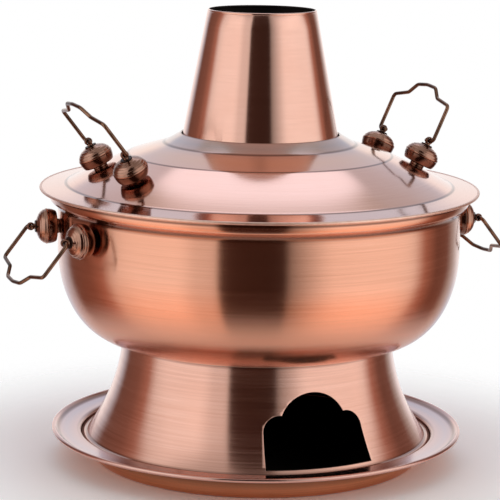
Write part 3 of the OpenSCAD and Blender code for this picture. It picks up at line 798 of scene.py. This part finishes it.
# Sawn edge, seam and foot bead get bright metal: wear and a painted highlight
refinish(stand, wear_and_highlight, lambda r, z, outwards: SILL_Z - 1 < z < SILL_Z + 48 and abs(outwards) < 0.7)
refinish(stand, wear_and_highlight, lambda r, z, outwards: r > STAND_R - 1.7 and z > BOWL_Z - 1.5)
refinish(stand, wear_and_highlight, lambda r, z, outwards: r > foot_r + 0.3 and z < FOOT_Z + 3)

# %% [markdown]
# ## The bowl
#
# The bowl's bottom is a quarter of a squared ellipse that runs into an upright wall, and its
# flared lip is rolled over a wire. A collar is turned down round the hole for the chimney. The
# bolt holes for the handles are drilled, so that they show when the lid is off.

# %% Bowl
LIP_BEAD, LIP_H, COLLAR_H, ROUND_STEPS = 1.3, 13.6, 5, 40
band_z, collar_low = LIP_Z - LIP_H, BOWL_Z - COLLAR_H


def round_bottom(inset):
    points = []
    for i in range(1, ROUND_STEPS + 1):
        a = pi / 2 * (1 - i / ROUND_STEPS)
        points.append((
            FLOOR_R + (BOWL_R - FLOOR_R - inset) * cos(a) ** (2 / SQUARE),
            BOWL_Z + BOWL_ROUND - (BOWL_ROUND - inset) * sin(a) ** (2 / SQUARE),
        ))
    return points


def lip_curve(start, middle, end, steps=10):
    """A quadratic curve, for the lip's soft flare."""
    curve = []
    for i in range(steps + 1):
        t = i / steps
        a, b, c = (1 - t) ** 2, 2 * t * (1 - t), t * t
        curve.append(tuple(a * s + b * m + c * e for s, m, e in zip(start, middle, end)))
    return curve


def wall_points(r, low, high, steps=6):
    return [(r, low + (high - low) * i / steps) for i in range(1, steps)]


t = BOWL_T
hole_top, hole_low = chimney_at(BOWL_Z + t) + GAP, chimney_at(collar_low) + GAP
lip = LIP_R - t
inside = (
    [(hole_low, collar_low), (hole_top, BOWL_Z + t), (FLOOR_R, BOWL_Z + t)]
    + round_bottom(t) + wall_points(BOWL_R - t, BOWL_Z + BOWL_ROUND, band_z)
    + lip_curve((BOWL_R - t, band_z), (BOWL_R - t, band_z + 3.6), (lip - 1.5, band_z + 6.2))
    + lip_curve((lip - 1.4, band_z + 6.4), (lip - 0.4, band_z + 7.4), (lip - 0.45, LIP_Z - 2.1))
)
outside = (
    [(hole_low + t, collar_low), (chimney_at(BOWL_Z) + t + 0.5, BOWL_Z), (FLOOR_R, BOWL_Z)]
    + round_bottom(0) + wall_points(BOWL_R, BOWL_Z + BOWL_ROUND, band_z)
    + lip_curve((BOWL_R, band_z), (BOWL_R, band_z + 2.8), (LIP_R - 1.6, band_z + 5.4))
    + lip_curve(
        (LIP_R - 1.5, band_z + 5.5), (LIP_R - 0.3, band_z + 6.8), (LIP_R - 0.25, LIP_Z - 2.2))
)
lip_roll = arc((LIP_R - LIP_BEAD, LIP_Z - LIP_BEAD), LIP_BEAD, 215, -35, 14)
bowl = spin("bowl_shell", inside + lip_roll + outside[::-1], 256)

# %% [markdown]
# ## Where the handles stand
#
# Each handle has two knobs, whose bolts stand square to the wall: level on the bowl, and leaning
# outwards on the lid. A knob is modelled once, upright at the origin, and copied to its two
# places. So each handle needs the turn, the lean and the place of its bolts, which follow from
# the spacing of the eyes. The bail's pivot is where the CAD hinge is.

# %% Handle frames
EYE_Y, EYE_R, EYE_T, WIRE_R = 34, 2.75, 2.8, 1.3
NECK_H, NECK_R, SEAM_H, NOSE_H, KNOB_R, SHANK_R = 2, 5, 8, 15.6, 11.75, 2
WASHER_T = 0.8
EYE_H = NOSE_H + WASHER_T + EYE_R + 0.05
BORE_R = SHANK_R + 0.05
DOME_W, CREASE_DROP, SWELL, EXTRA_SWELL = 42, 20.6, 0.2, 0.25
LID_BEAD, BRIM_W, BRIM_DROP = 1.0, 18, 2.2
brim_slope = BRIM_DROP / (BRIM_W - LID_BEAD)
brim_edge = LIP_Z + GAP + T + 0.1 - brim_slope * (LID_R - LID_BEAD - (LIP_R - LIP_BEAD))
crease_z = brim_edge + BRIM_DROP
shoulder_z = crease_z + CREASE_DROP


def dome_z(r):
    across = (r - SHOULDER_R) / DOME_W
    return shoulder_z - CREASE_DROP * across + SWELL * sin(pi * across)


LID_POST_IN, POT_POST_DROP = 23.3, 24.1
LID_POST_R = CREASE_R - LID_POST_IN
lid_lean = atan((dome_z(LID_POST_R - 1) - dome_z(LID_POST_R + 1)) / 2)
# Radius, height and lean of the bolts' feet, and the wall's thickness there
POSTS = {
    "lid": (LID_POST_R, dome_z(LID_POST_R), lid_lean, T),
    "pot": (BOWL_R, LIP_Z - POT_POST_DROP, pi / 2, BOWL_T),
}
# How far each bail leans outwards at rest, in degrees from upright
REST = {("lid", "left"): 38, ("lid", "right"): 25, ("pot", "left"): 141, ("pot", "right"): 141}
OUT = {"left": -1, "right": 1}
hinges = {joint["name"]: joint for joint in frame["record"]["behaviour"]["joints"]}


def fan_of(on):
    """Angle of each knob from the middle of its handle, and the pivot's distance from the axis."""
    r, _, lean, _ = POSTS[on]
    eye_reach = r + EYE_H * sin(lean)
    fan = asin(EYE_Y / eye_reach)
    return fan, eye_reach * cos(fan)


def post_frames(on, side):
    """The two matrices that carry an upright fitting to its places."""
    r, z, lean, _ = POSTS[on]
    fan, _ = fan_of(on)
    half_turn = pi if side == "left" else 0
    outwards, over = Matrix.Translation((r * MM, 0, z * MM)), Matrix.Rotation(lean, 4, "Y")
    return [Matrix.Rotation(half_turn + a, 4, "Z") @ outwards @ over for a in (-fan, fan)]


def pivot_of(on, side):
    """Where the bail turns: across from the axis, and height."""
    z, lean = POSTS[on][1:3]
    return OUT[side] * fan_of(on)[1], z + EYE_H * cos(lean)


for on, side in REST:
    in_cad = hinges[f"{on}_{side}_bail_hinge"]["pos_m"]
    print(on, side, "pivot in CAD", in_cad, "here", [round(v, 2) for v in pivot_of(on, side)])


# %% Drill the bolt holes
def drill(piece, on):
    for side in OUT:
        for place_of in post_frames(on, side):
            bpy.ops.object.select_all(action="DESELECT")
            bpy.ops.mesh.primitive_cylinder_add(vertices=32, radius=BORE_R * MM, depth=0.012)
            bit = bpy.context.object
            bit.data.transform(place_of)
            cut(piece, bit)


drill(bowl, "pot")
smooth(bowl, 30)
# Painted shade and patina: darker copper in the lip's creases and where the bowl meets the stand
bowl_copper.tint_rings(
    CREASE_PATINA_AND_SHADE, (BOWL_R + 0.4, band_z + 2.5, 3.5), (LIP_R - 0.4, LIP_Z - 3, 1.2),
    (FLOOR_R, BOWL_Z, 5),
)
dress(bowl, bowl_copper, "brushed_copper", "pot", "bowl")
refinish(bowl, sooty, lambda r, z, outwards: z < BOWL_Z + 0.05 and r < STAND_R - 2)

# %% [markdown]
# ## The chimney
#
# One straight cone is firebox below and flue above. Its top edge is rolled outwards very
# slightly. Inside, it is black with soot.

# %% Chimney
FIREBOX_H, CONE_STEPS = 14, 24
foot_z = BOWL_Z - FIREBOX_H
cone_t = T / cos(atan(TAPER))
heights = [foot_z + (TOP_Z - 1.6 - foot_z) * i / CONE_STEPS for i in range(CONE_STEPS + 1)]
flue_outline = (
    [(chimney_at(h), h) for h in heights]
    + arc((CHIMNEY_R - FLUE_BEAD + 0.2, TOP_Z - FLUE_BEAD), FLUE_BEAD, -30, 205, 14)
    + [(chimney_at(h) - cone_t, h) for h in reversed(heights)]
)
chimney = spin("chimney_cone", flue_outline, 224)
dress(chimney, flue_copper, "brushed_copper", "pot", "chimney")
refinish(chimney, sooty, lambda r, z, outwards: outwards < -0.25 or z < BOWL_Z - 0.5)

# %% [markdown]
# ## The lid
#
# The lid is a ring: a sloping collar round the chimney, a shallow upper slope, the long dome that
# carries the knobs, and a flat brim with a thin rolled edge. The creases between these bands
# were pressed, so they are soft. Each one is a short curve rather than a corner.

# %% Lid
SLOPE_RISE, COLLAR_RISE, COLLAR_W, LID_PLAY = 7.5, 6.5, 11.8, 0.7
collar_z = shoulder_z + SLOPE_RISE
hole_z = collar_z + COLLAR_RISE
hole_r = chimney_at(hole_z - T) + LID_PLAY
collar_r = hole_r + COLLAR_W


def soft_corner(before, corner, after, size, steps=5):
    """Replace a corner by a curve that starts and ends a given distance from it."""
    ends = []
    for other in (before, after):
        d = hypot(other[0] - corner[0], other[1] - corner[1])
        ends.append(tuple(c + (o - c) * size / d for c, o in zip(corner, other)))
    return lip_curve(ends[0], corner, ends[1], steps)


DOME_STEPS = 22
dome = []
for i in range(DOME_STEPS + 1):
    r = SHOULDER_R + DOME_W * i / DOME_STEPS
    dome.append((r, dome_z(r) + EXTRA_SWELL * sin(pi * i / DOME_STEPS)))
edge = (LID_R - LID_BEAD, brim_edge)
upper = (
    [(hole_r, hole_z - 0.5), (hole_r + 0.6, hole_z)]
    + soft_corner((hole_r, hole_z), (collar_r, collar_z), dome[0], 1.6)
    + soft_corner((collar_r, collar_z), dome[0], dome[2], 1.8)
    + dome[2:-1]
    + soft_corner(dome[-2], dome[-1], edge, 1.6)
    + [(edge[0] - in_by, edge[1] + in_by * brim_slope) for in_by in (10, 5, 0.7)]
)
lower = [(r, h - T - (0.6 if r == hole_r else 0.1)) for r, h in upper]
lid_roll = arc((edge[0], edge[1] - T / 2), LID_BEAD, 118, -125, 12)
lid = spin("lid_shell", upper + lid_roll + lower[::-1], 256)
drill(lid, "lid")
smooth(lid, 30)

# %% Lid: finish, with painted reflections round the chimney and on the slope below the collar
# The collar round the chimney is painted duller and greyer: a painted reflection of a dim part of
# the room
lid_copper.tint_rings(PAINTED_COLLAR_REFLECTION, (hole_r + 6, collar_z + 3, 15))
# The slope below the collar is painted warmer: a painted reflection of the copper chimney
lid_copper.tint_rings(
    PAINTED_CHIMNEY_REFLECTION, ((collar_r + SHOULDER_R) / 2, (collar_z + shoulder_z) / 2, 14))
# Painted shade and patina: darker copper in the lid's creases and at the edge of its hole
lid_copper.tint_rings(
    CREASE_PATINA_AND_SHADE, (collar_r, collar_z, 1.8), (SHOULDER_R, shoulder_z, 1.3),
    (CREASE_R, crease_z, 1.6), (hole_r, hole_z, 1.5),
)
dress(lid, lid_copper, "brushed_copper", "lid", "lid")
# The lid's rolled edge gets bright metal: wear and a painted highlight
refinish(lid, wear_and_highlight, lambda r, z, outwards: r > LID_R - 1.8)

# %% [markdown]
# ## The ball knobs
#
# Each knob is two thin shells that meet at a seam: a plain cup towards the wall, and a cap
# turned in steps like a beehive. A neck ring holds it off the wall, a black washer sits on its
# nose, and a bolt runs through to a washer and a cap nut inside. All but the bolt's eye are
# spun from outlines, and each pair becomes one piece, as in the CAD model.

# %% Knob outlines
def ball_at(h, r=KNOB_R):
    return sqrt(max(r * r - (SEAM_H - h) ** 2, 0))


SHELL_T = 1.0
cup_heights = [NECK_H + 0.5 + (SEAM_H - 0.3 - NECK_H - 0.5) * i / 10 for i in range(11)]
cup = (
    [(BORE_R, NECK_H), (ball_at(NECK_H) - 0.8, NECK_H), (ball_at(NECK_H) - 0.25, NECK_H + 0.12)]
    + [(ball_at(h), h) for h in cup_heights]
    + [(ball_at(h) - SHELL_T, h) for h in reversed(cup_heights) if h > NECK_H + SHELL_T]
    + [(ball_at(NECK_H) - 1.1, NECK_H + SHELL_T), (BORE_R, NECK_H + SHELL_T)]
)
# Steps of the cap: share of the ball's radius, share of the way from seam to nose
STEPS = [
    (1.0, 0.0), (1.014, 0.03), (1.018, 0.1), (1.006, 0.17), (0.994, 0.195), (0.978, 0.2),
    (0.968, 0.22), (0.96, 0.28), (0.944, 0.36), (0.922, 0.43), (0.908, 0.45), (0.892, 0.455),
    (0.88, 0.48), (0.856, 0.55), (0.82, 0.62), (0.806, 0.64), (0.786, 0.645), (0.77, 0.665),
    (0.73, 0.73), (0.675, 0.79), (0.655, 0.8), (0.63, 0.803), (0.61, 0.82), (0.55, 0.87),
    (0.49, 0.91), (0.47, 0.915), (0.445, 0.918), (0.42, 0.94), (0.38, 0.98), (0.35, 1.0),
]
rise = NOSE_H - SEAM_H
cap = (
    [(KNOB_R * a, SEAM_H + rise * b) for a, b in STEPS]
    + [(BORE_R, NOSE_H), (BORE_R, NOSE_H - SHELL_T), (KNOB_R * 0.3, NOSE_H - SHELL_T)]
    + [(KNOB_R * 0.62, SEAM_H + rise * 0.6), (KNOB_R * 0.82, SEAM_H + rise * 0.3)]
    + [(KNOB_R - SHELL_T, SEAM_H)]
)


def washer(r, low, high, soft=0.2):
    side_of = [(r - soft, low), (r, low + soft), (r, high - soft), (r - soft, high)]
    return [(BORE_R, low)] + side_of + [(BORE_R, high)]


def fitting_outlines(wall):
    """Outlines of a handle's turned fittings, by the end of their node's name."""
    inner = -wall - 2 * GAP
    return {
        "necks": washer(NECK_R, GAP, NECK_H, 0.35),
        "knob_cups": cup,
        "knob_caps": cap,
        "nose_washers": washer(4, NOSE_H, NOSE_H + WASHER_T),
        "inner_washers": washer(5, inner - WASHER_T, inner),
    }


# %% Make the turned fittings and copy them to their places
FITTING_FINISH = {
    "necks": (fitting_copper, "antique_copper"),
    "knob_cups": (cup_copper_painted_shade, "antique_copper"),
    "knob_caps": (cap_copper, "antique_copper"),
    "nose_washers": (black_washer, "blackened_washer"),
    "inner_washers": (fitting_copper, "antique_copper"),
    "cap_nuts": (fitting_copper, "antique_copper"),
    "eye_bolts": (fitting_copper, "antique_copper"),
}


def copy_pair(master, on, side):
    """A copy of an upright fitting at both places of a handle. The master is used up."""
    pair = []
    for place_of in post_frames(on, side):
        twin = master.copy()
        twin.data = master.data.copy()
        bpy.context.collection.objects.link(twin)
        twin.name = twin.data.name = "copy"
        twin.data.transform(place_of)
        pair.append(twin)
    bpy.data.objects.remove(master)
    return pair


def join(name, parts):
    bpy.ops.object.select_all(action="DESELECT")
    for part in parts:
        part.select_set(True)
    bpy.context.view_layer.objects.active = parts[0]
    bpy.ops.object.join()
    parts[0].name = parts[0].data.name = name
    return parts[0]


def fit(on, side, part_name, parts):
    """Join a handle's fittings of one kind into the piece that stands for their node."""
    name = f"{on}_{side}_{part_name}"
    dress(join(name + "_pair", parts), *FITTING_FINISH[part_name], on, name)


for on, side in REST:
    for part_name, outline in fitting_outlines(POSTS[on][3]).items():
        fit(on, side, part_name, copy_pair(spin("master", outline, 48), on, side))

# %% [markdown]
# ## Cap nuts
#
# Inside the wall each bolt ends in a six-sided nut with a domed cap. It starts as a six-sided
# cylinder, a Bevel rounds its corners as stamping does, and a dome that is spun apart is joined
# to it.

# %% Cap nuts
NUT_FLATS, NUT_H, CROWN_WIDTH, CROWN_HEIGHT = 7, 3.2, 0.98, 0.8


def cap_nut(top):
    bpy.ops.object.select_all(action="DESELECT")
    bpy.ops.mesh.primitive_cylinder_add(
        vertices=6, radius=NUT_FLATS / 2 / cos(pi / 6) * MM, depth=NUT_H * MM,
        location=(0, 0, (top - NUT_H / 2) * MM),
    )
    nut = bpy.context.object
    bpy.ops.object.transform_apply(location=True)
    soften(nut, 0.0003, 40)
    dome_r = NUT_FLATS / 2 * CROWN_WIDTH
    low = top - NUT_H
    crown = [(0, low + 0.3), (dome_r, low + 0.3)]
    for a in map(radians, range(0, 90, 9)):
        crown.append((dome_r * cos(a), low - dome_r * CROWN_HEIGHT * sin(a)))
    crown.append((0, low - dome_r * CROWN_HEIGHT))
    return join("nut", [nut, spin("crown", crown, 32)])


for on, side in REST:
    master = cap_nut(-POSTS[on][3] - WASHER_T - 3 * GAP)
    smooth(master, 35)
    fit(on, side, "cap_nuts", copy_pair(master, on, side))

# %% [markdown]
# ## Eye bolts
#
# A bolt's eye is its own end bent to a ring. The shank follows the knob's axis, but both rings
# of a handle lie square to the pivot, so that the bail's ends can turn in them. The ring is
# spun as a rounded section round the Z axis, and then laid over.

# %% Eye bolts
def shank(wall):
    low = -(wall + WASHER_T + NUT_H - 0.4)
    top = EYE_H - WIRE_R - 0.35
    end, tip = [(0, low), (SHANK_R - 0.3, low)], [(SHANK_R - 0.35, top), (0, top)]
    return end + [(SHANK_R, low + 0.3), (SHANK_R, top - 1)] + tip


def ring_section():
    bore, half = WIRE_R + 0.06, EYE_T / 2
    middle, width = (bore + EYE_R) / 2, (EYE_R - bore) / 2
    section = []
    for a in map(radians, range(5, 360, 10)):
        section.append((middle + width * cos(a) * abs(cos(a)) ** -0.3, half * sin(a)))
    return section


for on, side in REST:
    pivot_x, pivot_z = pivot_of(on, side)
    parts = copy_pair(spin("shank", shank(POSTS[on][3]), 32), on, side)
    for s in (-1, 1):
        ring = spin("ring", ring_section(), 48)
        to_eye = Matrix.Translation((pivot_x * MM, s * EYE_Y * MM, pivot_z * MM))
        ring.data.transform(to_eye @ Matrix.Rotation(pi / 2, 4, "X"))
        parts.append(ring)
    fit(on, side, "eye_bolts", parts)

# %% [markdown]
# ## The bails
#
# A bail is one length of round wire, bent over a jig: straight legs, square shoulders, a step on
# each side and a round crown. Its ends turn inwards through the eyes. It is drawn as a curve
# with every bend rounded to its own radius, given the wire's thickness, and made a mesh.

# %% Bail path
HALF_U, SHOULDER_V, STEP_U, STEP_V, CROWN_U, CROWN_V = 39.5, 26.6, 21, 30, 12.8, 38.2
TIP_U, CROWN_BEND = EYE_Y - EYE_T / 2 - 2.8, 30
RIGHT_HALF = [
    (TIP_U, 0, 0), (HALF_U, 0, 2.6), (HALF_U, SHOULDER_V, 3.2), (STEP_U, STEP_V, 5),
    (CROWN_U, CROWN_V - 1.2, 7),
]
LEFT_HALF = [(-u, v, bend) for u, v, bend in reversed(RIGHT_HALF)]


def rounded_path(corners, steps=9):
    """Corner points (u, v, bend radius) to a path of short straight runs."""
    path = [Vector(corners[0][:2])]
    for before, (u, v, bend), after in zip(corners, corners[1:], corners[2:]):
        here = Vector((u, v))
        back, on = (Vector(before[:2]) - here).normalized(), (Vector(after[:2]) - here).normalized()
        half = back.angle(on) / 2
        trim = bend / tan(half)
        centre = here + (back + on).normalized() * bend / sin(half)
        first, last = here + back * trim - centre, here + on * trim - centre
        sweep = first.angle_signed(last)
        for i in range(steps + 1):
            a = -sweep * i / steps
            du, dv = first.x * cos(a) - first.y * sin(a), first.x * sin(a) + first.y * cos(a)
            path.append(centre + Vector((du, dv)))
    path.append(Vector(corners[-1][:2]))
    return path


bail_path = rounded_path(RIGHT_HALF + [(0, CROWN_V, CROWN_BEND)] + LEFT_HALF)
print(len(bail_path), "points on a bail")


# %% Bails
def bail(on, side):
    lean = radians(REST[on, side])
    pivot_x, pivot_z = pivot_of(on, side)
    bpy.ops.object.select_all(action="DESELECT")
    bpy.ops.curve.primitive_bezier_curve_add()
    wire_curve = bpy.context.object
    curve = wire_curve.data
    curve.splines.clear()
    spline = curve.splines.new("POLY")
    spline.points.add(len(bail_path) - 1)
    for point, (u, v) in zip(spline.points, bail_path):
        across, up = pivot_x + OUT[side] * v * sin(lean), pivot_z + v * cos(lean)
        point.co = (across * MM, u * MM, up * MM, 1)
    curve.bevel_depth = WIRE_R * MM
    curve.bevel_resolution = 7
    curve.use_fill_caps = True
    pick(wire_curve)
    bpy.ops.object.convert(target="MESH")
    piece = bpy.context.object
    piece.name = piece.data.name = f"{on}_{side}_bail_wire"
    tidy(piece)
    soften(piece, 0.0003, 60)
    smooth(piece, 40)
    return piece


for on, side in REST:
    name = f"{on}_{side}_bail"
    dress(bail(on, side), bail_copper, "antique_copper", name, name)

# %% [markdown]
# ## What stays from the CAD model
#
# The grate, its lugs and their rivets sit in the foot of the chimney, where they are seen only
# down the flue or from below. Their solids have the right shape, so they just get a finish.

# %% Finishes for the CAD pieces
for name, finish in (("grate", iron), ("grate_lugs", sooty), ("lug_rivets", sooty)):
    node = frame["nodes"][name]
    node.data.materials.clear()
    node.data.materials.append(finish.material)
    print(name, "finished")
